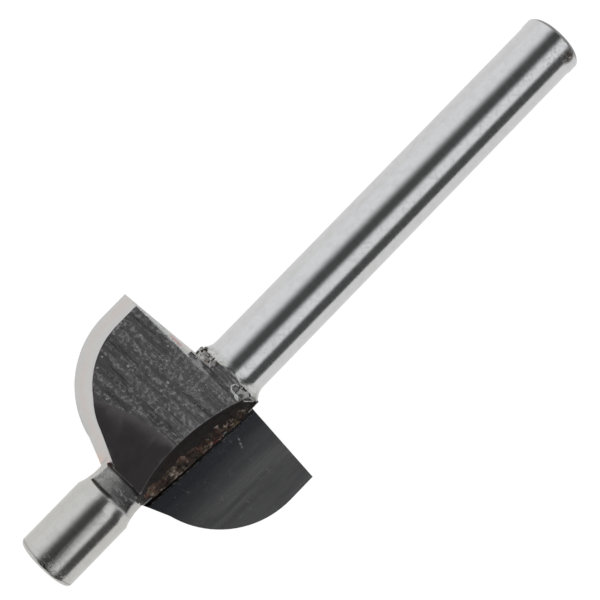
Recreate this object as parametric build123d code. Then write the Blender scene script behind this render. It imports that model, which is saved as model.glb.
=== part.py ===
from build123d import *
import os
from math import asin, cos, pi, radians, sin, sqrt, tan

# Cove router bit with a solid pilot and two brazed carbide tips, lying on its side.
# X runs along the bit from the pilot to the shank, and Z is up.
# The origin is on the axis, where the parallel shank begins.
# The bit is unchanged by half a turn about X, so each wing is made once and turned.

# Shank and collar
shank_diameter = 6.35
shank_length = 44.6
shank_end_chamfer = 0.35
collar_diameter = 7.75
collar_length = 0.78
collar_fillet = 1.9

# Head
cutting_diameter = 25.4
cutting_length = 12.55
cove_radius = 9.525
back_taper = 0.66
wing_height = 3.5

# Relief behind the cutting edge, measured at the wing's back
relief_radial = 1.79
relief_axial = 1.86
relief_round = 1.39

# Relief on the wing's back, outside the collar
back_relief_angle = 10.0
back_relief_offset = 4.2

# Foot of the cutting profile, where it runs down to the neck
foot_length = 0.83
foot_rise = 2.2
foot_relief_axial = 1.75
foot_relief_radial = 1.25

# Pilot and neck
pilot_diameter = 6.35
pilot_length = 7.8
pilot_end_round = 0.4
neck_diameter = 5.5
neck_length = 3.47
waist_rise = 0.05

# Flute, milled by a large disc with a rounded corner
flute_offset = 1.06
flute_disc_radius = 22.2
flute_disc_station = 5.3
flute_corner = 3.0

# Facet milled on the pilot side of each wing's back, as a shallow cone
facet_radius = 20.26
facet_station = 14.62
facet_offset = 1.42
facet_angle = 15.0

# Flat milled on each side of the neck, rising towards the head and leaning to the left wing
neck_flat_height = 1.72
neck_flat_length = 2.3
neck_flat_rise = 8.0
neck_flat_lean = 6.0

# Carbide tips and braze
tip_thickness = 1.5
tip_heel_front = 2.78
tip_heel_back = 3.85
braze_thickness = 0.12
bead_height = 1.1
bead_width = 0.45

# Room past the solid for a cutting tool
clear = 5.0

# Stations along X, worked out from the shank back to the pilot
shank_radius = shank_diameter / 2
collar_radius = collar_diameter / 2
cutting_radius = cutting_diameter / 2
pilot_radius = pilot_diameter / 2
neck_radius = neck_diameter / 2
collar_step = collar_radius - shank_radius
fillet_run = sqrt(collar_fillet**2 - (collar_fillet - collar_step) ** 2)
collar_back = -fillet_run
head_back = collar_back - collar_length
edge_back = head_back - back_taper
head_front = edge_back - cutting_length
foot_front = head_front - foot_length
neck_front = head_front - neck_length
pilot_front = neck_front - pilot_length

half_turn = Rot(180, 0, 0)


def arc_point(center, radius, angle):
    """Point on a circle, with the angle measured up from the pilot's side."""
    return (center[0] - radius * cos(angle), center[1] + radius * sin(angle))


def cutting_outline(axial, radial, round_loss, foot_axial, foot_radial):
    """Foot, cove arc and straight edge of a wing, pulled in by its relief."""
    radius = cove_radius - round_loss
    center = (head_front + axial + radius, cutting_radius - radial - radius)
    foot_angle = asin(foot_rise / radius)
    foot_start = (foot_front + foot_axial, neck_radius - foot_radial)
    arc_start = arc_point(center, radius, foot_angle)
    arc_middle = arc_point(center, radius, (foot_angle + pi / 2) / 2)
    arc_end = arc_point(center, radius, pi / 2)
    edge_end = (edge_back, cutting_radius - radial)
    return [
        Line(foot_start, arc_start),
        ThreePointArc(arc_start, arc_middle, arc_end),
        Line(arc_end, edge_end),
        Line(edge_end, (head_back, collar_radius)),
    ]


def closed_face(lines, corners):
    """Face bounded by a chain of lines and the straight corners that close it."""
    closing = [lines[-1] @ 1] + corners + [lines[0] @ 0]
    return make_face(lines + [Polyline(*closing)])


def turned_blank():
    """Bar turned to the pilot, neck, full head, collar and shank."""
    round_center = (pilot_front + pilot_end_round, pilot_radius - pilot_end_round)
    waist = ((neck_front + foot_front) / 2, neck_radius + waist_rise)
    fillet_start = (collar_back, collar_radius)
    fillet_angle = asin(fillet_run / collar_fillet) / 2
    fillet_middle = (
        -collar_fillet * sin(fillet_angle),
        shank_radius + collar_fillet * (1 - cos(fillet_angle)),
    )
    shank_back = shank_length - shank_end_chamfer
    lines = [
        Line((pilot_front, 0), (pilot_front, pilot_radius - pilot_end_round)),
        ThreePointArc(
            (pilot_front, round_center[1]),
            arc_point(round_center, pilot_end_round, pi / 4),
            (round_center[0], pilot_radius),
        ),
        Line((round_center[0], pilot_radius), (neck_front, pilot_radius)),
        ThreePointArc((neck_front, pilot_radius), waist, (foot_front, neck_radius)),
        *cutting_outline(0, 0, 0, 0, 0),
        Line((head_back, collar_radius), fillet_start),
        ThreePointArc(fillet_start, fillet_middle, (0, shank_radius)),
        Line((0, shank_radius), (shank_back, shank_radius)),
        Line((shank_back, shank_radius), (shank_length, shank_radius - shank_end_chamfer)),
        Line((shank_length, shank_radius - shank_end_chamfer), (shank_length, 0)),
    ]
    return revolve(closed_face(lines, []), Axis.X)


def heel_offset(x):
    """Distance of the tip seat's shoulder from the axis, at a station along X."""
    share = (x - foot_front) / (head_back - foot_front)
    return tip_heel_front + (tip_heel_back - tip_heel_front) * share


def wing_block():
    """One wing at full height, from the far side's shoulder out to the relieved edge."""
    far_front = (foot_front, -heel_offset(foot_front))
    far_back = (head_back, -heel_offset(head_back))
    base = closed_face(cutting_outline(0, 0, 0, 0, 0), [far_back, far_front])
    far_top = (foot_front + foot_relief_axial, far_front[1])
    top_lines = cutting_outline(
        relief_axial, relief_radial, relief_round, foot_relief_axial, foot_relief_radial
    )
    top = closed_face(top_lines, [far_back, far_top])
    return loft([base, Pos(0, 0, wing_height) * top], ruled=True) - back_relief_cut()


def back_relief_cut():
    """Slope on the wing's back, which leaves the flat's back edge square to the axis."""
    size = cutting_diameter
    behind = Box(clear, size, size, align=(Align.MIN, Align.MIN, Align.CENTER))
    return Pos(edge_back, back_relief_offset, wing_height) * Rot(0, -back_relief_angle, 0) * behind


def outer_side(gap, low, high):
    """Everything beyond a tip seat's shoulder, between two heights."""
    start = foot_front
    end = head_back + clear
    corners = [
        (start, heel_offset(start) + gap),
        (end, heel_offset(end) + gap),
        (end, cutting_radius + clear),
        (start, cutting_radius + clear),
    ]
    return extrude(Pos(0, 0, low) * make_face(Polyline(*corners, close=True)), high - low)


def flute_cut():
    """Sweep of the rounded disc that mills one flute down to the cutting face."""
    center_x = head_front + flute_disc_station
    center_y = -flute_offset - flute_disc_radius
    disc = Cylinder(flute_disc_radius, clear, align=(Align.CENTER, Align.CENTER, Align.MIN))
    disc = fillet(disc.edges().sort_by(Axis.Z)[0], flute_corner)
    return Pos(center_x, center_y, 0) * disc


def facet_cut():
    """Shallow cone that slopes the wing's back down towards the pilot."""
    slope = tan(radians(facet_angle))
    low_radius = facet_radius - wing_height / slope
    high_radius = facet_radius + clear / slope
    cone = Cone(
        low_radius,
        high_radius,
        wing_height + clear,
        align=(Align.CENTER, Align.CENTER, Align.MIN),
    )
    cone = Pos(head_front - facet_station, -facet_offset, 0) * cone
    reach = cutting_length + cutting_radius
    keep = Box(reach, 2 * reach, reach, align=(Align.MIN, Align.CENTER, Align.MIN))
    return cone & (Pos(head_front, 0, 0) * keep)


def neck_flat_cut():
    """Slot milled off one side of the neck, down to a slightly tilted flat."""
    size = pilot_diameter
    middle = Pos(head_front - neck_flat_length / 2, 0, neck_flat_height)
    above = Box(size, 2 * size, size, align=(Align.CENTER, Align.CENTER, Align.MIN))
    slot = Pos(head_front, 0, 0) * Box(
        neck_flat_length, size, size, align=(Align.MAX, Align.CENTER, Align.MIN)
    )
    return slot & (middle * Rot(-neck_flat_lean, -neck_flat_rise, 0) * above)


def bit_body(blank):
    """Steel body: blank milled to two wings, with seats for the tips."""
    core_length = head_back - foot_front
    head_space = Pos((foot_front + head_back) / 2, 0, 0) * Cylinder(
        cutting_radius + clear, core_length, rotation=(0, 90, 0)
    )
    core = Pos((foot_front + head_back) / 2, 0, 0) * Cylinder(
        neck_radius, core_length, rotation=(0, 90, 0)
    )
    turned_ends = blank - head_space
    wing = wing_block() & blank
    body = turned_ends + core + wing + half_turn * wing
    seat = outer_side(0, -cutting_radius, tip_thickness + braze_thickness)
    for cut in (seat, flute_cut(), facet_cut(), neck_flat_cut()):
        body = body - cut - half_turn * cut
    slab = Box(4 * shank_length, cutting_diameter, 2 * wing_height)
    return body & slab


def carbide_tip():
    """Tip on the left wing, with its cutting face on the axis plane."""
    return wing_block() & outer_side(braze_thickness, 0, tip_thickness)


def bead_bar():
    """Bar along the seat's shoulder, which fills the flute's corner."""
    sections = []
    for x in (foot_front, head_back):
        heel = heel_offset(x)
        corners = [
            (x, 0, 0),
            (x, heel + braze_thickness + bead_width, 0),
            (x, heel - bead_width, -bead_height),
            (x, 0, -bead_height),
        ]
        sections.append(make_face(Polyline(*corners, close=True)))
    return loft(sections, ruled=True)


def braze_joint(body, tip, blank):
    """Braze under and behind the left tip, with the bead along its heel."""
    layer = wing_block() & outer_side(0, 0, tip_thickness + braze_thickness)
    bead = bead_bar() & blank
    return (layer + bead) - body - tip


def export_parts():
    os.makedirs("parts", exist_ok=True)
    blank = turned_blank()
    body = bit_body(blank)
    tip = carbide_tip()
    joint = braze_joint(body, tip, blank)
    nodes = {
        "bit_body": body,
        "carbide_tip_left": tip,
        "carbide_tip_right": half_turn * tip,
        "braze_joint_left": joint,
        "braze_joint_right": half_turn * joint,
    }
    for name, shape in nodes.items():
        export_step(shape, f"parts/{name}.step")
        print(name, len(shape.solids()), round(shape.volume, 3))


export_parts()
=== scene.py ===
import math

import bpy
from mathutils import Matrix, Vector, noise


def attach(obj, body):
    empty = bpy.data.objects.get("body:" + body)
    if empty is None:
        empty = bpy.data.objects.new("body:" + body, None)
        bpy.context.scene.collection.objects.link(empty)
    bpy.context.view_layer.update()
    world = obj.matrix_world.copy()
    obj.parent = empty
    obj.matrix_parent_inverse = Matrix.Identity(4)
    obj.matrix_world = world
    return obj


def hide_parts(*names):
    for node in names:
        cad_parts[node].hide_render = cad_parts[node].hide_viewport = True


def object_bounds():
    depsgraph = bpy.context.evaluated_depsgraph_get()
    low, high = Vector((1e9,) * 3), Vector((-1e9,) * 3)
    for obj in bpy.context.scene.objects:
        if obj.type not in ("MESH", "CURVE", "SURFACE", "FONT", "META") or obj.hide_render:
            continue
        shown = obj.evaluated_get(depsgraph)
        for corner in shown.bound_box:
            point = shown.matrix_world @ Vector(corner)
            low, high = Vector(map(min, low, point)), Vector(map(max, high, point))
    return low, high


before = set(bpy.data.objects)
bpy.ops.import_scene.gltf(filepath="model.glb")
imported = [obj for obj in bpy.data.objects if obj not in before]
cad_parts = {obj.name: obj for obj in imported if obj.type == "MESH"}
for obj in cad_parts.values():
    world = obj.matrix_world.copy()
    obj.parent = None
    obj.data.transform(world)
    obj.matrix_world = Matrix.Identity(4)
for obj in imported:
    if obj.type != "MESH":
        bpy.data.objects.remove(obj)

CAD_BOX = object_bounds()
MM = 0.001

# Stations along the bit, in mm from where the parallel shank begins
PILOT_SHOULDER = -18.93
FOOT_FRONT = -16.29
FACET_FRONT = -15.46
HEAD_BACK = -2.25
COLLAR_BACK = -1.47
SHANK_START = 0.0
SHANK_END = 44.6
BACK_FLAT = 3.5
NECK_FLAT = 1.7
NECK_FLAT_TOP = 2.25
NECK_BACK = -15.46
NECK_FLAT_START = -17.76
WING_BACK = -2.95
SEAM_LEVELS = (1.5, 1.62)
RUNOUT_SLOPE = 1.03
END_DIRT = (43.6, -1.95, 2.5)
CORE_RADIUS = 2.75
FACET_CENTRE = Vector((-30.083, -1.42, 0.0))
FACET_RADIUS = 20.26
FACET_ANGLE = math.radians(15.0)
RUNOUT_OFFSET = 5.2
FLARE_START = 43.1
FLARE = 1.02

# The flute's wall, as its cutter leaves it, and the tips' heels beside it, in mm
FLUTE_CENTRE = Vector((-10.163, -23.26, 0.0))
FLUTE_FLOOR_RADIUS = 19.2
FLUTE_CORNER = 3.0
HEEL_FRONT = 2.9
HEEL_BACK = 3.97
RESIDUE_WIDTH = 1.75
RESIDUE_MARGIN = 0.22
COLLAR_RADIUS = 3.875


# ---------------------------------------------------------------- shader helpers

class Nodes:
    """Lays out and joins the nodes of one tree."""

    def __init__(self, tree):
        self.tree = tree

    def put(self, socket, value):
        if isinstance(value, bpy.types.NodeSocket):
            self.tree.links.new(value, socket)
        elif socket.type == "RGBA" and len(value) == 3:
            socket.default_value = (*value, 1.0)
        else:
            socket.default_value = value

    def add(self, kind, inputs=None, **settings):
        node = self.tree.nodes.new(kind)
        for name, value in settings.items():
            setattr(node, name, value)
        for name, value in (inputs or {}).items():
            self.put(node.inputs[name], value)
        return node

    def math(self, operation, *values, clamp=False):
        node = self.add("ShaderNodeMath", dict(enumerate(values)), operation=operation, use_clamp=clamp)
        return node.outputs[0]

    def fade(self, value, low, high, to_low=0.0, to_high=1.0):
        """A soft step: to_low below low, to_high above high."""
        ends = {"Value": value, "From Min": low, "From Max": high, "To Min": to_low, "To Max": to_high}
        return self.add("ShaderNodeMapRange", ends, interpolation_type="SMOOTHSTEP").outputs[0]

    def window(self, value, low, high, soft):
        """1 between low and high, with soft ends."""
        return self.math("MULTIPLY", self.fade(value, low - soft, low + soft),
                         self.fade(value, high - soft, high + soft, 1.0, 0.0))

    def blend(self, share, first, second):
        node = self.add("ShaderNodeMix", data_type="RGBA")
        colour_inputs = [s for s in node.inputs if s.type == "RGBA"]
        self.put(node.inputs[0], share)
        self.put(colour_inputs[0], first)
        self.put(colour_inputs[1], second)
        return next(s for s in node.outputs if s.type == "RGBA")

    def group(self, tree, inputs):
        node = self.tree.nodes.new("ShaderNodeGroup")
        node.node_tree = tree
        for name, value in inputs.items():
            self.put(node.inputs[name], value)
        return node


def new_group(name, inputs, outputs):
    tree = bpy.data.node_groups.new(name, "ShaderNodeTree")
    for socket_name, kind in inputs:
        tree.interface.new_socket(name=socket_name, in_out="INPUT", socket_type=kind)
    for socket_name in outputs:
        tree.interface.new_socket(name=socket_name, in_out="OUTPUT", socket_type="NodeSocketFloat")
    n = Nodes(tree)
    return n, n.add("NodeGroupInput").outputs, n.add("NodeGroupOutput").inputs


def make_grain_group():
    """Tool marks: long streaks whose closeness is given along each axis, with finer ones between."""
    n, given, out = new_group("tool_marks", [("Place", "NodeSocketVector"), ("Closeness", "NodeSocketVector"),
                                             ("Wander", "NodeSocketFloat")], ["Marks", "Fine"])
    stretched = n.add("ShaderNodeVectorMath", {0: given["Place"], 1: given["Closeness"]},
                      operation="MULTIPLY").outputs[0]
    coarse = n.add("ShaderNodeTexNoise", {"Vector": stretched, "Scale": 1.0, "Detail": 5.0, "Roughness": 0.62,
                                          "Distortion": given["Wander"]}).outputs[0]
    fine = n.add("ShaderNodeTexNoise", {"Vector": stretched, "Scale": 3.1, "Detail": 3.0, "Roughness": 0.7,
                                        "Distortion": given["Wander"]}).outputs[0]
    n.put(out["Marks"], n.fade(coarse, 0.3, 0.7))
    n.put(out["Fine"], n.fade(fine, 0.3, 0.7))
    return n.tree


def make_speck_group():
    """Small scattered spots of uneven size: nicks, pits or bright flecks."""
    n, given, out = new_group("specks", [("Place", "NodeSocketVector"), ("Closeness", "NodeSocketFloat"),
                                         ("Size", "NodeSocketFloat"), ("Share", "NodeSocketFloat")], ["Spots"])
    wobble = n.add("ShaderNodeTexNoise", {"Vector": given["Place"], "Scale": 5.0, "Detail": 2.0}).outputs[1]
    moved = n.add("ShaderNodeVectorMath", {0: wobble, 1: (0.25, 0.25, 0.25), 2: given["Place"]},
                  operation="MULTIPLY_ADD").outputs[0]
    cells = n.add("ShaderNodeTexVoronoi", {"Vector": moved, "Scale": given["Closeness"], "Randomness": 1.0})
    lot = n.add("ShaderNodeSeparateColor", {0: cells.outputs["Color"]}).outputs[0]
    chosen = n.math("LESS_THAN", lot, given["Share"])
    spot = n.fade(cells.outputs["Distance"], n.math("MULTIPLY", given["Size"], 0.4), given["Size"], 1.0, 0.0)
    n.put(out["Spots"], n.math("MULTIPLY", spot, chosen))
    return n.tree


def make_patch_group():
    """Cloudy patches, for stains and uneven tone."""
    n, given, out = new_group("patches", [("Place", "NodeSocketVector"), ("Closeness", "NodeSocketFloat"),
                                          ("Cover", "NodeSocketFloat")], ["Patches"])
    cloud = n.add("ShaderNodeTexNoise", {"Vector": given["Place"], "Scale": given["Closeness"], "Detail": 6.0,
                                         "Roughness": 0.6}).outputs[0]
    edge = n.math("SUBTRACT", 0.8, n.math("MULTIPLY", given["Cover"], 0.6))
    n.put(out["Patches"], n.fade(cloud, n.math("SUBTRACT", edge, 0.08), n.math("ADD", edge, 0.08)))
    return n.tree


class Finish:
    """One surface finish, built up in layers over a plain metal."""

    def __init__(self, name, colour, rough, metallic=1.0):
        self.material = bpy.data.materials.new(name)
        self.material.use_nodes = True
        self.n = Nodes(self.material.node_tree)
        self.shader = self.n.tree.nodes["Principled BSDF"]
        place = self.n.add("ShaderNodeTexCoord").outputs["Object"]
        self.place = self.n.add("ShaderNodeVectorMath", {0: place, "Scale": 1.0 / MM}, operation="SCALE").outputs[0]
        self.x, self.y, self.z = self.n.add("ShaderNodeSeparateXYZ", {0: self.place}).outputs
        self.colour, self.rough, self.height = colour, rough, None
        self.metallic = metallic

    def turned(self, lean, move=(0, 0, 0)):
        """The place in mm, turned about the vertical by lean degrees."""
        return self.n.add("ShaderNodeMapping", {"Vector": self.place, "Location": move,
                                                "Rotation": (0, 0, math.radians(lean))}).outputs[0]

    def marks(self, closeness, wander=0.0, lean=0.0, move=(0, 0, 0)):
        node = self.n.group(GRAIN, {"Place": self.turned(lean, move), "Closeness": closeness, "Wander": wander})
        return node.outputs["Marks"], node.outputs["Fine"]

    def specks(self, closeness, size, share, move=(0, 0, 0), lean=0.0):
        return self.n.group(SPECKS, {"Place": self.turned(lean, move), "Closeness": closeness, "Size": size,
                                     "Share": share}).outputs[0]

    def patches(self, closeness, cover, move=(0, 0, 0)):
        return self.n.group(PATCHES, {"Place": self.turned(0.0, move), "Closeness": closeness,
                                      "Cover": cover}).outputs[0]

    def times(self, *masks):
        result = masks[0]
        for mask in masks[1:]:
            result = self.n.math("MULTIPLY", result, mask)
        return result

    def tint(self, mask, colour, share=1.0):
        self.colour = self.n.blend(self.times(mask, share), self.colour, colour)

    def roughen(self, mask, gain):
        self.rough = self.n.math("MULTIPLY_ADD", mask, gain, self.rough, clamp=True)

    def lift(self, mask, depth):
        """Raises (or with a negative depth sinks) the surface under a mask, in mm."""
        step = self.n.math("MULTIPLY", mask, depth)
        self.height = step if self.height is None else self.n.math("ADD", self.height, step)

    def done(self):
        self.n.put(self.shader.inputs["Base Color"], self.colour)
        self.n.put(self.shader.inputs["Roughness"], self.rough)
        self.n.put(self.shader.inputs["Metallic"], self.metallic)
        if self.height is not None:
            bump = self.n.add("ShaderNodeBump", {"Height": self.height, "Distance": MM, "Strength": 1.0})
            self.n.put(self.shader.inputs["Normal"], bump.outputs[0])
        return self.material


# ---------------------------------------------------------------- studio

def make_camera():
    bpy.ops.object.camera_add(location=(-0.664 * MM, 1.401 * MM, 139.462 * MM))
    camera = bpy.context.object
    camera.name = "camera"
    camera.rotation_euler = tuple(math.radians(a) for a in (2.34192, -2.99660, -45.81757))
    camera.data.sensor_width = 36.0
    camera.data.lens = 86.095
    camera.data.clip_start = 0.005
    camera.data.clip_end = 50.0
    bpy.context.scene.camera = camera


def make_studio():
    """A white room with a dark card over the bit and another low beside it, as its steel mirrors them."""
    world = bpy.data.worlds.new("studio")
    bpy.context.scene.world = world
    world.use_nodes = True
    world.node_tree.nodes.clear()
    n = Nodes(world.node_tree)
    ray = n.add("ShaderNodeTexCoord").outputs["Generated"]
    along, across, up = n.add("ShaderNodeSeparateXYZ", {0: ray}).outputs
    angle = n.math("MULTIPLY", n.math("ARCTAN2", across, up), 180.0 / math.pi)

    def card(starts, ends, length, shade):
        shown = n.math("MULTIPLY", n.fade(angle, *starts), n.fade(angle, *ends, 1.0, 0.0))
        shown = n.math("MULTIPLY", shown, n.fade(n.math("ABSOLUTE", along), *length, 1.0, 0.0))
        return n.fade(shown, 0.0, 1.0, 1.0, shade)

    overhead = card((-25.0, 0.0), (10.0, 56.0), (0.86, 0.99), 0.080)
    beside = card((-101.0, -83.0), (-58.0, -43.0), (0.86, 0.99), 0.086)
    dim_side = card((-180.0, -120.0), (-100.0, -75.0), (2.0, 3.0), 0.9)
    behind = n.add("ShaderNodeVectorMath", {0: ray, 1: Vector((-0.55, -0.22, 0.8)).normalized()},
                   operation="DOT_PRODUCT").outputs["Value"]
    camera_shade = n.fade(behind, 0.86, 0.95, 1.0, 0.04)
    light = n.math("MULTIPLY", n.math("MULTIPLY", overhead, beside), n.math("MULTIPLY", dim_side, camera_shade))
    room = n.add("ShaderNodeBackground", {"Color": (0.84, 0.855, 0.87), "Strength": light})
    plain = n.add("ShaderNodeBackground", {"Color": (1.0, 1.0, 1.0), "Strength": 1.0})
    seen = n.add("ShaderNodeLightPath").outputs["Is Camera Ray"]
    mixed = n.add("ShaderNodeMixShader", {0: seen, 1: room.outputs[0], 2: plain.outputs[0]})
    n.add("ShaderNodeOutputWorld", {"Surface": mixed.outputs[0]})
    bpy.context.scene.view_settings.view_transform = "Standard"


def make_floor():
    bpy.ops.mesh.primitive_plane_add(size=6.0, location=(0, 0, CAD_BOX[0].z - 0.02 * MM))
    floor = bpy.context.object
    floor.name = "floor"
    material = bpy.data.materials.new("pale_floor")
    material.use_nodes = True
    n = Nodes(material.node_tree)
    shader = n.tree.nodes["Principled BSDF"]
    seen = n.add("ShaderNodeLightPath").outputs["Is Camera Ray"]
    n.put(shader.inputs["Base Color"], (0.3, 0.3, 0.3))
    n.put(shader.inputs["Roughness"], 1.0)
    n.put(shader.inputs["Specular IOR Level"], 0.0)
    n.put(shader.inputs["Emission Color"], (1.0, 1.0, 1.0))
    n.put(shader.inputs["Emission Strength"], n.fade(seen, 0.0, 1.0, 0.68, 0.92))
    floor.data.materials.append(material)


# ---------------------------------------------------------------- modelling helpers

def deselect_all():
    bpy.ops.object.select_all(action="DESELECT")


def make_active(piece):
    deselect_all()
    piece.select_set(True)
    bpy.context.view_layer.objects.active = piece


def merged_copy(node_name, piece_name):
    """A welded copy of a CAD node, with its flat faces made whole."""
    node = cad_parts[node_name]
    piece = bpy.data.objects.new(piece_name, node.data.copy())
    bpy.context.scene.collection.objects.link(piece)
    make_active(piece)
    bpy.ops.object.mode_set(mode="EDIT")
    bpy.ops.mesh.customdata_custom_splitnormals_clear()
    bpy.ops.mesh.select_all(action="SELECT")
    bpy.ops.mesh.remove_doubles(threshold=0.0002 * MM)
    bpy.ops.mesh.dissolve_limited(angle_limit=math.radians(0.3))
    bpy.ops.object.mode_set(mode="OBJECT")
    piece.data.materials.clear()
    return piece


def add_primitive(kind, name, middle, **settings):
    """A primitive at its size and place in mm, as the only thing selected."""
    deselect_all()
    getattr(bpy.ops.mesh, "primitive_" + kind + "_add")(location=Vector(middle) * MM, **settings)
    piece = bpy.context.object
    piece.name = name
    return piece


def settle(piece):
    """Puts a piece's place, turn and size into its mesh."""
    make_active(piece)
    bpy.ops.object.transform_apply(location=True, rotation=True, scale=True)


def select_places(piece, wanted):
    """In edit mode, selects the vertices whose place in mm is wanted."""
    bpy.ops.mesh.select_mode(type="VERT")
    bpy.ops.mesh.select_all(action="DESELECT")
    bpy.ops.object.mode_set(mode="OBJECT")
    for vertex in piece.data.vertices:
        vertex.select = bool(wanted(vertex.co / MM))
    bpy.ops.object.mode_set(mode="EDIT")


def other_side_copy(piece, name):
    """A copy of a piece with its own mesh, half a turn round the bit's axis."""
    make_active(piece)
    bpy.ops.object.duplicate(linked=False)
    copy = bpy.context.object
    copy.name = name
    bpy.ops.object.mode_set(mode="EDIT")
    bpy.ops.mesh.select_all(action="SELECT")
    bpy.ops.transform.rotate(value=math.pi, orient_axis="X", center_override=(0, 0, 0))
    bpy.ops.object.mode_set(mode="OBJECT")
    return copy


def ride_as(piece):
    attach(piece, "root")


def clouds(name, size):
    """Soft lumps about a size in mm across, for a Displace modifier."""
    texture = bpy.data.textures.new(name, "CLOUDS")
    texture.noise_scale = size * MM
    texture.noise_depth = 2
    return texture


def displace(piece, name, height, level, direction="NORMAL", size=None, group=""):
    """Moves a surface by a height in mm, through lumps of a size if one is given."""
    texture = clouds(name, size) if size else None
    apply_modifier(piece, name, "DISPLACE", strength=height * MM, mid_level=level, direction=direction,
                   texture=texture, texture_coords="LOCAL", vertex_group=group)


def apply_modifier(piece, name, kind, **settings):
    make_active(piece)
    modifier = piece.modifiers.new(name, kind)
    for key, value in settings.items():
        setattr(modifier, key, value)
    bpy.ops.object.modifier_apply(modifier=name)


def break_edges(piece, width, angle=32.0):
    """Takes the sharpness off a machined piece's edges, but for the brazed seam, which was ground flush."""
    mesh = piece.data
    sharp = sharp_edges(mesh, angle)
    weights = mesh.attributes.new("bevel_weight_edge", "FLOAT", "EDGE")
    for edge in mesh.edges:
        heights = [abs(mesh.vertices[i].co.z) / MM for i in edge.vertices]
        on_seam = any(all(abs(h - level) < 0.01 for h in heights) for level in SEAM_LEVELS)
        weights.data[edge.index].value = 1.0 if edge.index in sharp and not on_seam else 0.0
    apply_modifier(piece, "broken_edges", "BEVEL", width=width * MM, segments=2, limit_method="WEIGHT",
                   use_clamp_overlap=False, miter_outer="MITER_ARC")
    make_active(piece)
    bpy.ops.object.shade_smooth_by_angle(angle=math.radians(40.0))
    apply_modifier(piece, "true_normals", "WEIGHTED_NORMAL", keep_sharp=True, weight=80)


def sharp_edges(mesh, angle):
    """The edges whose two faces meet at more than an angle in degrees."""
    sides = {}
    for face in mesh.polygons:
        for key in face.edge_keys:
            sides.setdefault(key, []).append(face.normal)
    limit = math.radians(angle)
    index = {tuple(sorted(edge.vertices)): edge.index for edge in mesh.edges}
    return {index[tuple(sorted(key))] for key, normals in sides.items()
            if len(normals) == 2 and normals[0].angle(normals[1], 0.0) > limit}


def finish_faces(piece, finishes, choose):
    """Gives each face the finish that choose(centre in mm, normal) names."""
    order = list(finishes)
    for name in order:
        piece.data.materials.append(finishes[name])
    for face in piece.data.polygons:
        face.material_index = order.index(choose(face.center / MM, face.normal))


# ---------------------------------------------------------------- finishes

def ground_base(name, colour, rough):
    f = Finish(name, colour, rough)
    marks, fine = f.marks((6.0, 0.9, 0.9), 0.8)
    f.tint(f.patches(1.1, 0.45), tuple(c * 0.84 for c in colour), 0.3)
    f.tint(fine, tuple(c * 0.7 for c in colour), 0.2)
    f.roughen(marks, 0.07)
    f.lift(marks, 0.0024)
    f.lift(fine, 0.0012)
    return f


def ground_steel(name, colour, rough):
    """Ground and handled: cross scratches and small pits, more of them along its upper side."""
    f = ground_base(name, colour, rough)
    side = f.n.math("MULTIPLY", f.y, f.n.math("SIGN", f.z))
    handled = f.n.window(side, -1.4, -0.2, 0.35)
    pits = f.times(f.patches(3.6, 0.36, (1, 2, 5)), handled)
    f.tint(pits, (0.45, 0.44, 0.435), 0.12)
    f.lift(pits, -0.0004)
    for lean, place in ((38.0, (2, 0, 0)), (-47.0, (6, 3, 0))):
        scratch = f.times(f.n.fade(f.marks((3.4, 0.5, 0.5), 0.3, lean=lean, move=place)[0], 0.72, 0.92), handled)
        f.tint(scratch, (0.42, 0.415, 0.41), 0.14)
        f.lift(scratch, -0.0004)
        f.roughen(scratch, 0.04)
    return f


def pilot_steel():
    f = ground_steel("ground_pilot", (0.66, 0.65, 0.62), 0.16)
    end_nicks = f.times(f.n.fade(f.x, -26.2, -24.6, 1.0, 0.0), f.patches(3.4, 0.36, (9, 2, 1)))
    f.tint(end_nicks, (0.72, 0.71, 0.68), 0.6)
    f.roughen(end_nicks, 0.35)
    end_ring = f.n.window(f.x, -26.40, -26.22, 0.05)
    f.tint(end_ring, (0.34, 0.335, 0.32), 0.6)
    return f.done()


def shank_steel():
    f = ground_steel("ground_shank", (0.745, 0.740, 0.738), 0.13)
    side = f.n.math("MULTIPLY", f.y, f.n.math("SIGN", f.z))
    near_end = f.times(f.n.fade(f.x, 36.5, 43.6), f.n.window(side, -2.2, 0.4, 0.4))
    worn = f.times(near_end, f.patches(2.6, 0.36, (3, 1, 2)))
    f.tint(worn, (0.26, 0.25, 0.24), 0.4)
    f.roughen(worn, 0.08)
    f.lift(worn, -0.0008)
    corner = f.n.add("ShaderNodeVectorMath", {0: f.place, 1: END_DIRT}, operation="DISTANCE").outputs["Value"]
    dirt = f.times(f.n.fade(corner, 0.35, 1.05, 1.0, 0.0), f.patches(3.4, 0.66, (5, 1, 2)))
    f.tint(dirt, (0.10, 0.08, 0.065), 0.9)
    f.roughen(dirt, 0.3)
    f.lift(dirt, 0.01)
    # painted shade: the end chamfer is painted dark
    f.tint(f.n.window(f.x, 44.22, 44.56, 0.03), (0.16, 0.155, 0.15), 0.85)
    return f.done()


def turned_steel(name, light, dark, rough, depth, closeness):
    f = Finish(name, light, rough)
    marks, fine = f.marks(closeness, 0.15)
    f.lift(marks, depth)
    f.lift(fine, depth * 0.4)
    f.tint(marks, dark, 0.6)
    f.tint(f.patches(1.4, 0.5, (4, 2, 0)), dark, 0.5)
    f.roughen(fine, 0.12)
    return f


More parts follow.
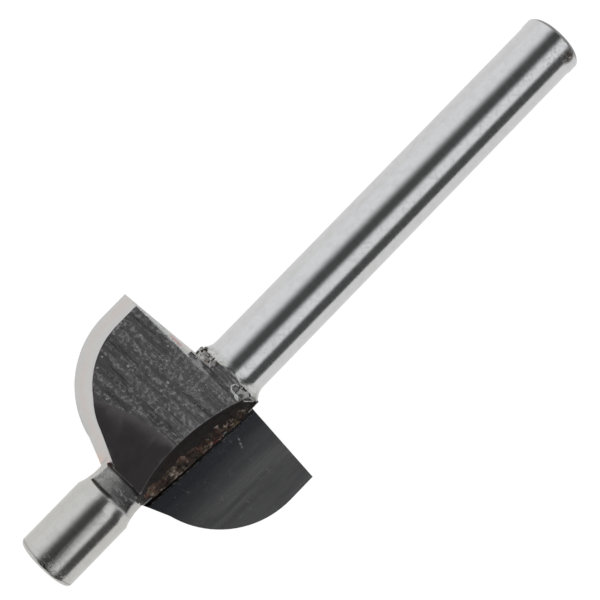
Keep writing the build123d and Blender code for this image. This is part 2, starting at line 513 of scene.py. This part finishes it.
def collar_steel():
    """Rough turned band with dark specks of dirt, darker along one side, bright where it faces up (partly wear, partly
    a painted highlight), and the flute's dark run-out across it.
    """
    f = turned_steel("turned_collar", (0.50, 0.50, 0.485), (0.13, 0.13, 0.12), 0.24, 0.014, (3.2, 0.45, 0.45))
    grooves = f.n.fade(f.marks((2.6, 0.28, 0.28), 0.2, move=(3, 1, 1))[0], 0.58, 0.8)
    f.tint(grooves, (0.05, 0.048, 0.042), 0.7)
    side = f.n.math("MULTIPLY", f.y, f.n.math("SIGN", f.z))
    streaks = f.marks((2.2, 0.5, 0.5), 0.3, move=(5, 9, 2))[0]
    # partly wear, partly painted highlight: bright streaks held to the band of the collar that faces up
    worn = f.times(f.n.fade(streaks, 0.45, 0.7), f.n.window(side, -2.6, 0.6, 0.5))
    ridges = f.n.fade(f.marks((2.9, 0.35, 0.35), 0.2, move=(8, 4, 1))[0], 0.60, 0.85)
    for mask, share in ((worn, 0.7), (ridges, 0.7)):
        f.tint(mask, (0.92, 0.92, 0.90), share)
        f.roughen(mask, share * 0.5)
    # darker towards one side, where side is above about 1.4 mm
    darker_side = f.times(f.patches(1.6, 0.45, (5, 5, 2)), f.n.fade(side, 1.4, 2.2))
    f.tint(darker_side, (0.13, 0.10, 0.085), 0.8)
    f.tint(f.specks(2.2, 0.34, 0.12), (0.05, 0.035, 0.025), 0.8)
    runout(f, side)
    return f.done()


def runout(f, side):
    """The flute's dark end, cut slantwise over the collar, with a painted highlight along its edge."""
    below = f.n.math("MULTIPLY_ADD", f.x, RUNOUT_SLOPE, f.n.math("ADD", side, RUNOUT_OFFSET))
    in_flute = f.n.fade(below, -0.08, 0.0, 1.0, 0.0)
    f.tint(in_flute, (0.055, 0.052, 0.045), 0.95)
    f.roughen(in_flute, 0.25)
    # painted highlight: a near-white line along the run-out's edge
    edge = f.n.window(below, -0.03, 0.12, 0.05)
    f.tint(edge, (0.96, 0.96, 0.95), 0.9)
    f.roughen(edge, 0.45)


def fillet_steel():
    """Blends from the ground shank into the rough collar."""
    f = ground_base("turned_fillet", (0.745, 0.740, 0.738), 0.13)
    rougher = f.n.fade(f.x, -1.3, -0.2, 1.0, 0.0)
    marks, _ = f.marks((4.0, 0.5, 0.5), 0.7)
    f.tint(f.times(marks, rougher), (0.40, 0.42, 0.38), 0.7)
    f.tint(f.times(f.patches(1.3, 0.45, (1, 6, 3)), rougher), (0.34, 0.36, 0.30), 0.6)
    f.lift(f.times(marks, rougher), 0.008)
    spots = f.times(f.specks(2.6, 0.26, 0.2), rougher)
    f.tint(spots, (0.2, 0.18, 0.15), 0.6)
    f.lift(spots, -0.01)
    return f.done()


def waist_steel():
    """The hollow behind the pilot: ground like it, duller towards the head, with a painted highlight along the wall at
    the flat's pilot end.
    """
    f = ground_base("turned_waist", (0.66, 0.65, 0.62), 0.16)
    f.roughen(f.n.fade(f.x, -18.4, -17.6), 0.18)
    side = f.n.math("MULTIPLY", f.y, f.n.math("SIGN", f.z))
    # painted highlight: a near-white line on the edge of the wall at the flat's pilot end
    on_wall = f.times(f.n.window(f.x, NECK_FLAT_START - 0.07, NECK_FLAT_START + 0.05, 0.03),
                      f.n.fade(side, -0.2, 0.3, 1.0, 0.0))
    f.tint(on_wall, (0.96, 0.96, 0.95), 0.9)
    f.roughen(on_wall, 0.5)
    return f.done()


def neck_flat_steel():
    """Milled crossways and streaked, with its tone painted as light: painted shade on the low side, painted lighter and
    dull on the other, and painted shade in the corners at both ends.
    """
    f = Finish("neck_flat", (0.44, 0.43, 0.43), 0.29)
    marks, fine = f.marks((3.4, 0.7, 0.5), 1.2)
    side = f.n.math("MULTIPLY", f.y, f.n.math("SIGN", f.z))
    # painted light: the flat is painted lighter towards one side and darker on the low side, standing in for its
    # shading
    painted_light_side = f.n.fade(side, -0.4, 1.7)
    f.lift(marks, 0.022)
    f.tint(marks, (0.20, 0.195, 0.19), 0.5)
    f.tint(painted_light_side, (0.76, 0.755, 0.725), 0.9)
    f.roughen(painted_light_side, 0.32)
    f.tint(f.times(f.patches(1.5, 0.45, (2, 5, 1)), painted_light_side), (0.52, 0.52, 0.48), 0.75)
    f.tint(f.times(f.patches(2.2, 0.4, (6, 5, 1)), painted_light_side), (0.97, 0.97, 0.94), 0.7)
    grooves = f.n.fade(f.marks((2.9, 0.4, 0.3), 0.9, move=(3, 1, 1))[0], 0.60, 0.85)
    f.tint(f.times(grooves, f.n.fade(painted_light_side, 0.0, 0.8, 1.0, 0.2)), (0.06, 0.055, 0.053), 0.6)
    flecks = f.times(f.specks(2.6, 0.34, 0.5, (4, 4, 4)), f.n.window(side, -1.35, -0.35, 0.25))
    ridges = f.n.fade(f.marks((3.0, 0.6, 0.3), 1.0, move=(7, 5, 1))[0], 0.62, 0.9)
    for mask in (flecks, f.times(ridges, 0.7)):
        f.tint(mask, (0.85, 0.85, 0.84), 0.6)
        f.roughen(mask, 0.3)
    # painted shade in the corners against the pilot's shoulder and the head
    pilot_corner_shade = f.n.fade(f.x, NECK_FLAT_START + 0.12, NECK_FLAT_START + 0.34, 1.0, 0.0)
    f.tint(f.times(pilot_corner_shade, f.n.fade(side, -0.7, 0.3)), (0.05, 0.045, 0.045), 0.85)
    head_corner_shade = f.n.fade(f.x, NECK_BACK - 0.38, NECK_BACK - 0.16)
    f.tint(head_corner_shade, (0.055, 0.05, 0.05), 0.85)
    return f.done()


def milled_steel():
    f = Finish("milled_steel", (0.53, 0.508, 0.513), 0.27)
    marks, fine = f.marks((1.7, 0.14, 0.5), 0.0, lean=-2.0)
    grooves = f.n.fade(f.marks((1.3, 0.09, 0.5), 0.0, lean=-1.0, move=(5, 0, 0))[0], 0.60, 0.85)
    f.lift(marks, 0.022)
    f.lift(grooves, -0.014)
    f.tint(marks, (0.35, 0.338, 0.34), 0.5)
    f.tint(f.patches(2.4, 0.42, (9, 9, 0)), (0.36, 0.347, 0.35), 0.35)
    f.tint(grooves, (0.18, 0.172, 0.174), 0.55)
    f.roughen(marks, 0.10)
    f.tint(f.patches(0.6, 0.45, (4, 1, 0)), (0.38, 0.365, 0.367), 0.45)
    smears = f.times(f.patches(2.6, 0.42, (3, 6, 0)), f.n.fade(marks, 0.1, 0.7))
    flecks = f.times(f.specks(2.0, 0.34, 0.30), f.patches(1.5, 0.45, (8, 2, 0)))
    for mask, share in ((smears, 0.22), (flecks, 0.55)):
        f.tint(mask, (0.86, 0.85, 0.84), share)
        f.roughen(mask, share)
    worn_streaks = f.n.fade(f.marks((2.6, 0.45, 0.5), 0.3, move=(1, 5, 0))[0], 0.5, 0.8)
    worn_back = f.times(f.n.fade(f.x, -3.2, -2.9), worn_streaks)
    f.tint(worn_back, (0.85, 0.85, 0.83), 0.45)
    f.roughen(worn_back, 0.3)
    pits = f.times(f.specks(1.8, 0.24, 0.3, (7, 3, 1)), f.patches(1.1, 0.5, (2, 2, 0)))
    f.tint(pits, (0.06, 0.055, 0.055), 0.6)
    f.lift(pits, -0.02)
    return f.done()


def facet_steel():
    f = Finish("facet_steel", (0.60, 0.555, 0.56), 0.28)
    marks, fine = f.marks((0.8, 0.35, 0.6), 0.8, lean=35.0)
    f.lift(marks, 0.003)
    f.tint(f.patches(0.6, 0.45), (0.46, 0.42, 0.42), 0.4)
    f.tint(marks, (0.50, 0.465, 0.47), 0.3)
    flecks = f.times(f.specks(1.5, 0.26, 0.3, (2, 5, 0)), f.patches(1.0, 0.35, (4, 4, 0)))
    f.tint(flecks, (0.8, 0.79, 0.78), 0.3)
    f.roughen(flecks, 0.14)
    return f.done()


def relief_steel(name, colour):
    f = Finish(name, colour, 0.34)
    marks, fine = f.marks((0.35, 0.35, 9.0), 0.3)
    f.tint(marks, (0.60, 0.59, 0.57), 0.35)
    f.tint(f.patches(0.5, 0.5), (0.72, 0.70, 0.67), 0.3)
    seam = f.n.math("ABSOLUTE", f.n.math("SUBTRACT", f.n.math("ABSOLUTE", f.z), 1.6))
    smear = f.times(f.n.fade(seam, 0.05, 1.1, 1.0, 0.0), f.patches(0.8, 0.62, (3, 1, 4)))
    f.tint(smear, (0.72, 0.62, 0.585), 0.55)
    foot = f.times(f.n.fade(f.x, -15.0, -16.1, 0.0, 1.0), f.n.fade(f.n.math("ABSOLUTE", f.y), 3.2, 5.2, 1.0, 0.0))
    f.tint(foot, (0.82, 0.60, 0.50), 0.7)
    f.lift(marks, 0.002)
    f.roughen(fine, 0.08)
    nicks = f.specks(1.6, 0.14, 0.25)
    f.tint(nicks, (0.3, 0.29, 0.28), 0.5)
    # painted shade: faces beside the neck, chiefly the step wall at the head's front, painted near black
    neck_step_shade = f.n.fade(f.n.math("ABSOLUTE", f.y), 2.16, 2.34, 1.0, 0.0)
    f.tint(neck_step_shade, (0.045, 0.038, 0.036), 0.95)
    return f.done()


def wing_back_steel():
    """The wing's sloping back: dull, mottled grey, with a red stain near the collar."""
    f = Finish("wing_back", (0.60, 0.605, 0.58), 0.45)
    f.tint(f.patches(2.2, 0.5, (2, 1, 1)), (0.40, 0.41, 0.38), 0.7)
    f.tint(f.patches(4.0, 0.4, (2, 6, 1)), (0.85, 0.85, 0.82), 0.5)
    stain = f.times(f.n.window(f.n.math("ABSOLUTE", f.y), 5.2, 6.6, 0.35), f.patches(1.8, 0.75, (5, 3, 2)))
    f.tint(stain, (0.55, 0.30, 0.29), 0.75)
    f.lift(f.patches(3.0, 0.5, (7, 7, 2)), 0.02)
    return f.done()


def flute_steel():
    # near black all over, far darker than the rest of the steel
    f = Finish("flute_near_black", (0.062, 0.053, 0.050), 0.5, metallic=0.5)
    f.tint(f.patches(0.8, 0.4), (0.060, 0.034, 0.028), 0.6)
    f.tint(f.patches(2.0, 0.4, (3, 3, 3)), (0.034, 0.031, 0.030), 0.8)
    f.tint(f.specks(2.2, 0.3, 0.12), (0.20, 0.15, 0.11), 0.4)
    f.lift(f.patches(2.0, 0.5, (1, 0, 0)), 0.015)
    return f.done()


def carbide_face():
    f = Finish("carbide_face", (0.275, 0.27, 0.275), 0.26)
    marks, fine = f.marks((0.07, 1.5, 1.0), 0.2, lean=2.0)
    streaks, _ = f.marks((0.06, 0.6, 1.0), 0.4, lean=3.0, move=(6, 3, 0))
    f.lift(marks, 0.0010)
    f.tint(marks, (0.15, 0.15, 0.155), 0.6)
    f.tint(streaks, (0.43, 0.425, 0.425), 0.6)
    out = f.n.math("ABSOLUTE", f.y)
    # painted shade: the face is painted near black towards the seam beside the flute's wall
    seam_side_shade = f.n.fade(out, 3.8, 8.0, 1.0, 0.0)
    f.tint(seam_side_shade, (0.10, 0.11, 0.13), 0.88)
    f.tint(f.times(f.n.window(out, 7.6, 9.9, 0.6), f.n.fade(streaks, 0.1, 0.8)), (0.44, 0.435, 0.43), 0.45)
    f.roughen(marks, 0.06)
    scuff = f.n.add("ShaderNodeMapping", {"Vector": f.place, "Location": (5.45, 5.35, 0.0)}).outputs[0]
    scuff = f.n.add("ShaderNodeMapping", {"Vector": scuff, "Rotation": (0, 0, math.radians(22.0))}).outputs[0]
    across, along, _ = f.n.add("ShaderNodeSeparateXYZ", {0: scuff}).outputs
    scuff = f.times(f.n.window(across, -0.09, 0.09, 0.06), f.n.window(along, -0.5, 0.5, 0.15))
    scuff = f.times(scuff, f.n.fade(f.marks((3.0, 1.2, 1.0), 1.0, move=(9, 2, 0))[0], 0.15, 0.7))
    scratches = f.n.fade(f.marks((1.1, 0.4, 0.5), 0.8, lean=-18.0, move=(9, 2, 0))[1], 0.92, 1.0)
    dots = f.times(f.specks(0.55, 0.12, 0.3), f.patches(0.3, 0.45, (6, 6, 0)))
    for mask, share in ((scuff, 1.0), (scratches, 0.2), (dots, 0.3)):
        f.tint(mask, (0.66, 0.66, 0.66), share)
        f.roughen(mask, share * 0.4)
    return f.done()


def braze_residue():
    """Braze run up the flute: mostly nearly black, with tan, red and olive where it shows, and pale tan patches that
    are partly the braze's colour and partly painted highlights.
    """
    f = Finish("braze_residue", (0.22, 0.15, 0.112), 0.44, metallic=0.7)
    f.tint(f.patches(0.8, 0.5, (0, 4, 0)), (0.07, 0.05, 0.045), 0.85)
    f.tint(f.patches(0.6, 0.42, (5, 1, 2)), (0.26, 0.08, 0.07), 0.8)
    f.tint(f.patches(1.0, 0.38, (1, 7, 3)), (0.24, 0.23, 0.12), 0.75)
    f.tint(f.patches(1.3, 0.45, (2, 8, 6)), (0.05, 0.04, 0.036), 0.85)
    f.tint(f.patches(0.45, 0.45, (8, 0, 0)), (0.055, 0.042, 0.038), 0.8)
    # partly the braze's pale tan colour, partly painted highlights on its lumps
    bright = f.times(f.patches(0.8, 0.42, (4, 9, 1)), f.patches(2.3, 0.45, (4, 2, 2)))
    f.tint(bright, (0.92, 0.76, 0.64), 0.85)
    f.lift(f.patches(2.2, 0.5, (2, 2, 8)), 0.05)
    return f.done()


def braze_line():
    f = Finish("braze_line", (0.68, 0.665, 0.65), 0.35)
    f.tint(f.patches(0.8, 0.40), (0.72, 0.62, 0.585), 0.6)
    f.tint(f.patches(1.6, 0.25, (4, 4, 1)), (0.55, 0.44, 0.40), 0.4)
    return f.done()


def burr_steel():
    f = Finish("torn_edge", (0.30, 0.28, 0.26), 0.35)
    f.tint(f.patches(2.4, 0.6), (0.05, 0.04, 0.035), 0.9)
    f.lift(f.patches(6.0, 0.5, (1, 2, 3)), 0.02)
    return f.done()


def swarf_steel():
    f = Finish("bright_swarf", (0.93, 0.93, 0.92), 0.62, metallic=0.75)
    f.tint(f.patches(4.0, 0.4), (0.55, 0.55, 0.53), 0.5)
    f.lift(f.patches(7.0, 0.5), 0.012)
    return f.done()


# ---------------------------------------------------------------- pieces

def body_zone(centre, normal):
    x, y, z = centre
    facing = normal.z * math.copysign(1.0, z)
    if x < PILOT_SHOULDER + 0.02:
        return "pilot"
    if x > SHANK_START:
        return "shank"
    if NECK_FLAT_START < x < NECK_BACK and 0.975 < facing < 0.992 and abs(z) < NECK_FLAT_TOP:
        return "neck_flat"
    if x > COLLAR_BACK + 0.05:
        return "fillet"
    if x > HEAD_BACK + 0.02:
        return "turned" if not (facing > 0.99 and abs(z) > BACK_FLAT - 0.02) else "milled"
    if facing > 0.995 and abs(z) > BACK_FLAT - 0.05:
        return "milled"
    if facing > 0.9 and normal.x < -0.15 and x > FACET_FRONT - 0.02 and abs(z) > NECK_FLAT - 0.1:
        return "facet"
    if y * z < 0.0 and abs(y) < 4.6 and x > FOOT_FRONT - 0.1:
        return "flute"
    if x < FACET_FRONT - 0.02 and math.hypot(y, z) < 3.3:
        return "waist"
    if x > WING_BACK and normal.x > 0.9:
        return "wing_back"
    return "relief"


def flare_shank_end(body):
    """The chuck end is a hair larger than the rest of the shank."""
    make_active(body)
    bpy.ops.object.mode_set(mode="EDIT")
    for station in (FLARE_START, FLARE_START + 0.25):
        bpy.ops.mesh.select_all(action="SELECT")
        bpy.ops.mesh.bisect(plane_co=(station * MM, 0, 0), plane_no=(1, 0, 0))
    select_places(body, lambda at: at.x > FLARE_START + 0.2)
    bpy.ops.transform.resize(value=(1.0, FLARE, FLARE), center_override=(0, 0, 0))
    bpy.ops.object.mode_set(mode="OBJECT")


def make_body(finishes):
    body = merged_copy("bit_body", "steel_body")
    flare_shank_end(body)
    finish_faces(body, finishes, body_zone)
    break_edges(body, 0.05)
    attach(body, "root")
    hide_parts("bit_body")
    return body


def make_tip(side, finishes):
    tip = merged_copy("carbide_tip_" + side, "cutting_tip_" + side)
    finish_faces(tip, finishes, lambda centre, normal: "face" if abs(centre.z) < 0.02 else "relief")
    break_edges(tip, 0.02)
    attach(tip, "root")
    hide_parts("carbide_tip_" + side)


def make_braze_layer(side, finishes):
    """The thin joint under and behind a tip; the bead above the cutting face is made apart."""
    layer = merged_copy("braze_joint_" + side, "braze_layer_" + side)
    up = -1.0 if side == "left" else 1.0
    make_active(layer)
    bpy.ops.object.mode_set(mode="EDIT")
    bpy.ops.mesh.select_all(action="SELECT")
    bpy.ops.mesh.bisect(plane_co=(0, 0, 0), plane_no=(0, 0, up), use_fill=True, clear_outer=True)
    bpy.ops.object.mode_set(mode="OBJECT")
    bpy.ops.object.shade_smooth_by_angle(angle=math.radians(40.0))
    finish_faces(layer, finishes, lambda centre, normal: "line")
    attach(layer, "root")
    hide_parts("braze_joint_" + side)


def flute_height(x, y):
    """Height of the flute's wall above the cutting face, on the right wing's side."""
    reach = math.hypot(x - FLUTE_CENTRE.x, y - FLUTE_CENTRE.y) - FLUTE_FLOOR_RADIUS
    if reach <= 0.0:
        return 0.0
    return FLUTE_CORNER - math.sqrt(max(FLUTE_CORNER ** 2 - reach ** 2, 0.0))


def flute_top(x, y):
    """Height of the steel beside the flute: the facet or the flat, and the core in front of them."""
    facet = BACK_FLAT + (math.hypot(x - FACET_CENTRE.x, y - FACET_CENTRE.y) - FACET_RADIUS) * math.tan(FACET_ANGLE)
    top = min(facet, BACK_FLAT)
    return min(top, math.sqrt(max(CORE_RADIUS ** 2 - y ** 2, 0.0))) if x < FACET_FRONT else top


def lumps(x, y, z, closeness, seed):
    return noise.fractal(Vector((x, y, z)) * closeness + Vector((seed, seed * 2.0, 0.0)), 0.6, 2.2, 4)


def heel_line(x):
    """How far from the axis a tip's heel runs, at a station along the bit."""
    return HEEL_FRONT + (HEEL_BACK - HEEL_FRONT) * (x - FOOT_FRONT) / (HEAD_BACK - FOOT_FRONT)


def residue_fullness(at):
    """1 where the braze stands thickest beside a heel, down to 0 at its edges."""
    front, back = FOOT_FRONT + RESIDUE_MARGIN, HEAD_BACK - 0.08
    along = (at.x - front) / (back - front)
    width = 1.55 + 0.45 * noise.noise(Vector((at.x * 0.9, 3.0, 0.0)))
    across = max(0.0, (at.y + heel_line(at.x) + 0.10) / width)
    room = flute_top(at.x, at.y) - 0.35 - flute_height(at.x, at.y)
    ends = max(0.0, min(1.0, 9.0 * along, 9.0 * (1.0 - along), room * 4.0))
    return ends * math.sin(math.pi * min(across * 1.25 + 0.02, 1.0)) ** 0.7


def make_residue(body, finishes):
    """Lumpy braze that ran up the flute's wall from the tip's heel, on both wings."""
    length = HEAD_BACK - FOOT_FRONT - 0.30
    middle_x = (HEAD_BACK + FOOT_FRONT) / 2.0 + 0.07
    middle = (middle_x, -heel_line(middle_x) + RESIDUE_WIDTH / 2.0 - 0.10, BACK_FLAT + 0.6)
    lean = -math.atan((HEEL_BACK - HEEL_FRONT) / (HEAD_BACK - FOOT_FRONT))
    residue = add_primitive("grid", "braze_residue_right", middle, x_subdivisions=220, y_subdivisions=26,
                            size=MM, rotation=(0, 0, lean))
    residue.scale = (length, RESIDUE_WIDTH, 1.0)
    settle(residue)
    bpy.ops.object.mode_set(mode="EDIT")
    bpy.ops.mesh.select_all(action="SELECT")
    corner = Vector((-15.95, -2.90, 0.0)) * MM
    bpy.ops.mesh.bisect(plane_co=corner, plane_no=(-1.0, 0.85, 0.0), clear_outer=True)
    bpy.ops.object.mode_set(mode="OBJECT")
    full = residue.vertex_groups.new(name="full")
    for vertex in residue.data.vertices:
        full.add([vertex.index], residue_fullness(vertex.co / MM), "REPLACE")
    apply_modifier(residue, "on_wall", "SHRINKWRAP", target=body, wrap_method="PROJECT", use_project_z=True,
                   use_negative_direction=True, use_positive_direction=False)
    bpy.ops.object.mode_set(mode="EDIT")
    select_places(residue, lambda at: at.z > BACK_FLAT + 0.1)
    bpy.ops.mesh.delete(type="VERT")
    select_places(residue, lambda at: at.z < 0.0)
    bpy.ops.transform.resize(value=(1.0, 1.0, 0.0), center_override=(0, 0, 0))
    bpy.ops.mesh.select_all(action="SELECT")
    bpy.ops.transform.translate(value=(0, 0, -0.03 * MM))
    bpy.ops.object.mode_set(mode="OBJECT")
    displace(residue, "body", 0.14, 0.0, "Z", group="full")
    displace(residue, "lumps", 0.50, 0.5, "Z", 0.62, "full")
    displace(residue, "grains", 0.22, 0.5, "Z", 0.20, "full")
    apply_modifier(residue, "thickness", "SOLIDIFY", thickness=0.12 * MM, offset=-1.0)
    make_active(residue)
    bpy.ops.object.shade_smooth_by_angle(angle=math.radians(60.0))
    finish_faces(residue, finishes, lambda centre, normal: "residue")
    for piece in (other_side_copy(residue, "braze_residue_left"), residue):
        ride_as(piece)


def make_collar_burr(finishes):
    """Torn metal round the collar's back corner, broken where the flats and flutes pass."""
    burr = add_primitive("cylinder", "collar_burr", (COLLAR_BACK - 0.09, 0, 0), vertices=260, radius=COLLAR_RADIUS * MM,
                         depth=0.42 * MM, end_fill_type="NOTHING", rotation=(0, math.radians(90.0), 0))
    settle(burr)
    bpy.ops.object.mode_set(mode="EDIT")
    for station in (-0.25, -0.15, -0.03, 0.06):
        bpy.ops.mesh.select_all(action="SELECT")
        bpy.ops.mesh.bisect(plane_co=((COLLAR_BACK + station) * MM, 0, 0), plane_no=(1, 0, 0))
    for flat in (1.0, -1.0):
        bpy.ops.mesh.select_all(action="SELECT")
        bpy.ops.mesh.bisect(plane_co=(0, 0, flat * (BACK_FLAT - 0.01) * MM), plane_no=(0, 0, flat), clear_outer=True)
    select_places(burr, lambda at: abs(at.x - COLLAR_BACK + 0.09) > 0.18)
    bpy.ops.transform.resize(value=(1.0, 0.984, 0.984), center_override=(0, 0, 0))
    bpy.ops.object.mode_set(mode="OBJECT")
    displace(burr, "tears", 0.20, 0.60, size=0.75)
    displace(burr, "ragged", 0.12, 0.5, "X", 0.30)
    apply_modifier(burr, "thickness", "SOLIDIFY", thickness=0.1 * MM, offset=-1.0)
    keep_clear_of_flutes(burr)
    bpy.ops.object.shade_smooth_by_angle(angle=math.radians(40.0))
    finish_faces(burr, finishes, lambda centre, normal: "burr")
    ride_as(burr)


def keep_clear_of_flutes(piece):
    """Takes away faces that would hang in the open flutes."""
    make_active(piece)
    for vertex in piece.data.vertices:
        vertex.select = False
    for face in piece.data.polygons:
        x, y, z = face.center / MM
        y, z = (y, z) if z > 0.0 else (-y, -z)
        reach = math.hypot(x - FLUTE_CENTRE.x, y - FLUTE_CENTRE.y) - FLUTE_FLOOR_RADIUS
        face.select = y < 0.0 and reach < FLUTE_CORNER and z > flute_height(x, y) + 0.12
    bpy.ops.object.mode_set(mode="EDIT")
    bpy.ops.mesh.select_mode(type="FACE")
    bpy.ops.mesh.delete(type="FACE")
    bpy.ops.mesh.select_mode(type="VERT")
    bpy.ops.mesh.select_all(action="SELECT")
    bpy.ops.mesh.fill_holes(sides=0)
    bpy.ops.object.mode_set(mode="OBJECT")


def make_edge_burr(finishes):
    """Ragged bright ridge along the back edge of each wing's flat."""
    burr = add_primitive("grid", "edge_burr_left", (-2.88, 7.25, BACK_FLAT - 0.01), x_subdivisions=6,
                         y_subdivisions=200, size=MM)
    burr.scale = (0.20, 6.7, 1.0)
    settle(burr)
    bpy.ops.object.mode_set(mode="EDIT")
    select_places(burr, lambda at: abs(at.x + 2.88) > 0.09)
    bpy.ops.transform.translate(value=(0, 0, -0.04 * MM))
    bpy.ops.object.mode_set(mode="OBJECT")
    displace(burr, "ridge", 0.12, 0.42, "Z", 0.42)
    displace(burr, "ragged", 0.16, 0.5, "X", 0.35)
    apply_modifier(burr, "thickness", "SOLIDIFY", thickness=0.05 * MM, offset=-1.0)
    make_active(burr)
    bpy.ops.object.shade_smooth_by_angle(angle=math.radians(40.0))
    finish_faces(burr, finishes, lambda centre, normal: "swarf")
    for piece in (other_side_copy(burr, "edge_burr_right"), burr):
        ride_as(piece)


def make_swarf_curl(finishes):
    """A bright hook of swarf that still clings to the collar."""
    path = [(-1.60, -1.38, 3.48), (-1.72, -0.98, 3.58), (-2.10, -0.84, 3.60), (-2.38, -1.15, 3.58),
            (-2.42, -1.60, 3.54), (-2.52, -2.02, 3.50), (-2.66, -2.26, 3.48)]
    thickness = (0.05, 0.06, 0.08, 0.09, 0.12, 0.19, 0.10)
    curl = add_primitive("plane", "swarf_curl", path[0], size=0.01 * MM)
    settle(curl)
    bpy.ops.object.mode_set(mode="EDIT")
    bpy.ops.mesh.select_all(action="SELECT")
    bpy.ops.mesh.merge(type="CENTER")
    for here, there in zip(path, path[1:]):
        step = (Vector(there) - Vector(here)) * MM
        bpy.ops.mesh.extrude_vertices_move(TRANSFORM_OT_translate={"value": step})
    bpy.ops.object.mode_set(mode="OBJECT")
    skin = curl.modifiers.new("skin", "SKIN")
    for vertex, point in zip(curl.data.vertices, curl.data.skin_vertices[0].data):
        nearest = min(range(len(path)), key=lambda i: (Vector(path[i]) - vertex.co / MM).length)
        point.radius = (thickness[nearest] * MM, thickness[nearest] * MM)
    bpy.ops.object.modifier_apply(modifier=skin.name)
    apply_modifier(curl, "rounded", "SUBSURF", levels=3, render_levels=3)
    displace(curl, "dents", 0.07, 0.5, size=0.22)
    bpy.ops.object.shade_smooth()
    finish_faces(curl, finishes, lambda centre, normal: "swarf")
    ride_as(curl)


def make_lump(name, middle, reach, seed):
    """A small torn lump with three half-lengths in mm: a knocked ball, rounded again."""
    lump = add_primitive("ico_sphere", name, middle, subdivisions=2, radius=MM)
    lump.scale = reach
    settle(lump)
    bpy.ops.object.mode_set(mode="EDIT")
    bpy.ops.mesh.select_all(action="SELECT")
    bpy.ops.transform.vertex_random(offset=0.45 * min(reach) * MM, uniform=0.6, normal=0.5, seed=seed)
    bpy.ops.object.mode_set(mode="OBJECT")
    apply_modifier(lump, "rounded", "SUBSURF", levels=2, render_levels=2)
    displace(lump, "torn", 0.55 * min(reach), 0.5, size=0.12)
    bpy.ops.object.shade_smooth()
    return lump


def make_braze_drops(finishes):
    """A drop of braze in each corner where the relief meets the neck."""
    drop = make_lump("braze_drop_left", (-15.53, 2.24, 1.66), (0.26, 0.23, 0.18), 4)
    finish_faces(drop, finishes, lambda centre, normal: "residue")
    for piece in (other_side_copy(drop, "braze_drop_right"), drop):
        ride_as(piece)


def make_chips(finishes):
    """Small torn lumps of scaled steel stuck on the collar and the hollow behind it."""
    chips = [((-2.02, 3.68, 1.15), (0.20, 0.12, 0.16)), ((-1.62, 3.50, 1.62), (0.20, 0.13, 0.16)),
             ((-1.30, 3.36, 1.72), (0.28, 0.18, 0.18)), ((-1.50, 2.14, 3.20), (0.30, 0.08, 0.10)),
             ((-1.92, 2.30, 3.10), (0.16, 0.10, 0.10)), ((-1.16, 3.22, 1.35), (0.14, 0.10, 0.12))]
    for number, (middle, reach) in enumerate(chips, 1):
        chip = make_lump(f"steel_chip_{number}", middle, reach, number)
        finish_faces(chip, finishes, lambda centre, normal: "burr")
        ride_as(chip)


# ---------------------------------------------------------------- making

deselect_all()
make_camera()
make_studio()
make_floor()

GRAIN = make_grain_group()
SPECKS = make_speck_group()
PATCHES = make_patch_group()

steel = {
    "shank": shank_steel(),
    "pilot": pilot_steel(),
    "turned": collar_steel(),
    "fillet": fillet_steel(),
    "waist": waist_steel(),
    "neck_flat": neck_flat_steel(),
    "milled": milled_steel(),
    "facet": facet_steel(),
    "relief": relief_steel("relief_steel", (0.68, 0.675, 0.66)),
    "flute": flute_steel(),
    "wing_back": wing_back_steel(),
}
carbide = {"face": carbide_face(), "relief": relief_steel("relief_carbide", (0.67, 0.665, 0.65))}
braze = {"line": braze_line()}
residue = {"residue": braze_residue()}
burr = {"burr": burr_steel()}
swarf = {"swarf": swarf_steel()}

body = make_body(steel)
for side in ("left", "right"):
    make_tip(side, carbide)
    make_braze_layer(side, braze)
make_residue(body, residue)
make_edge_burr(swarf)
make_collar_burr(burr)
make_swarf_curl(swarf)
make_chips(burr)
make_braze_drops(residue)
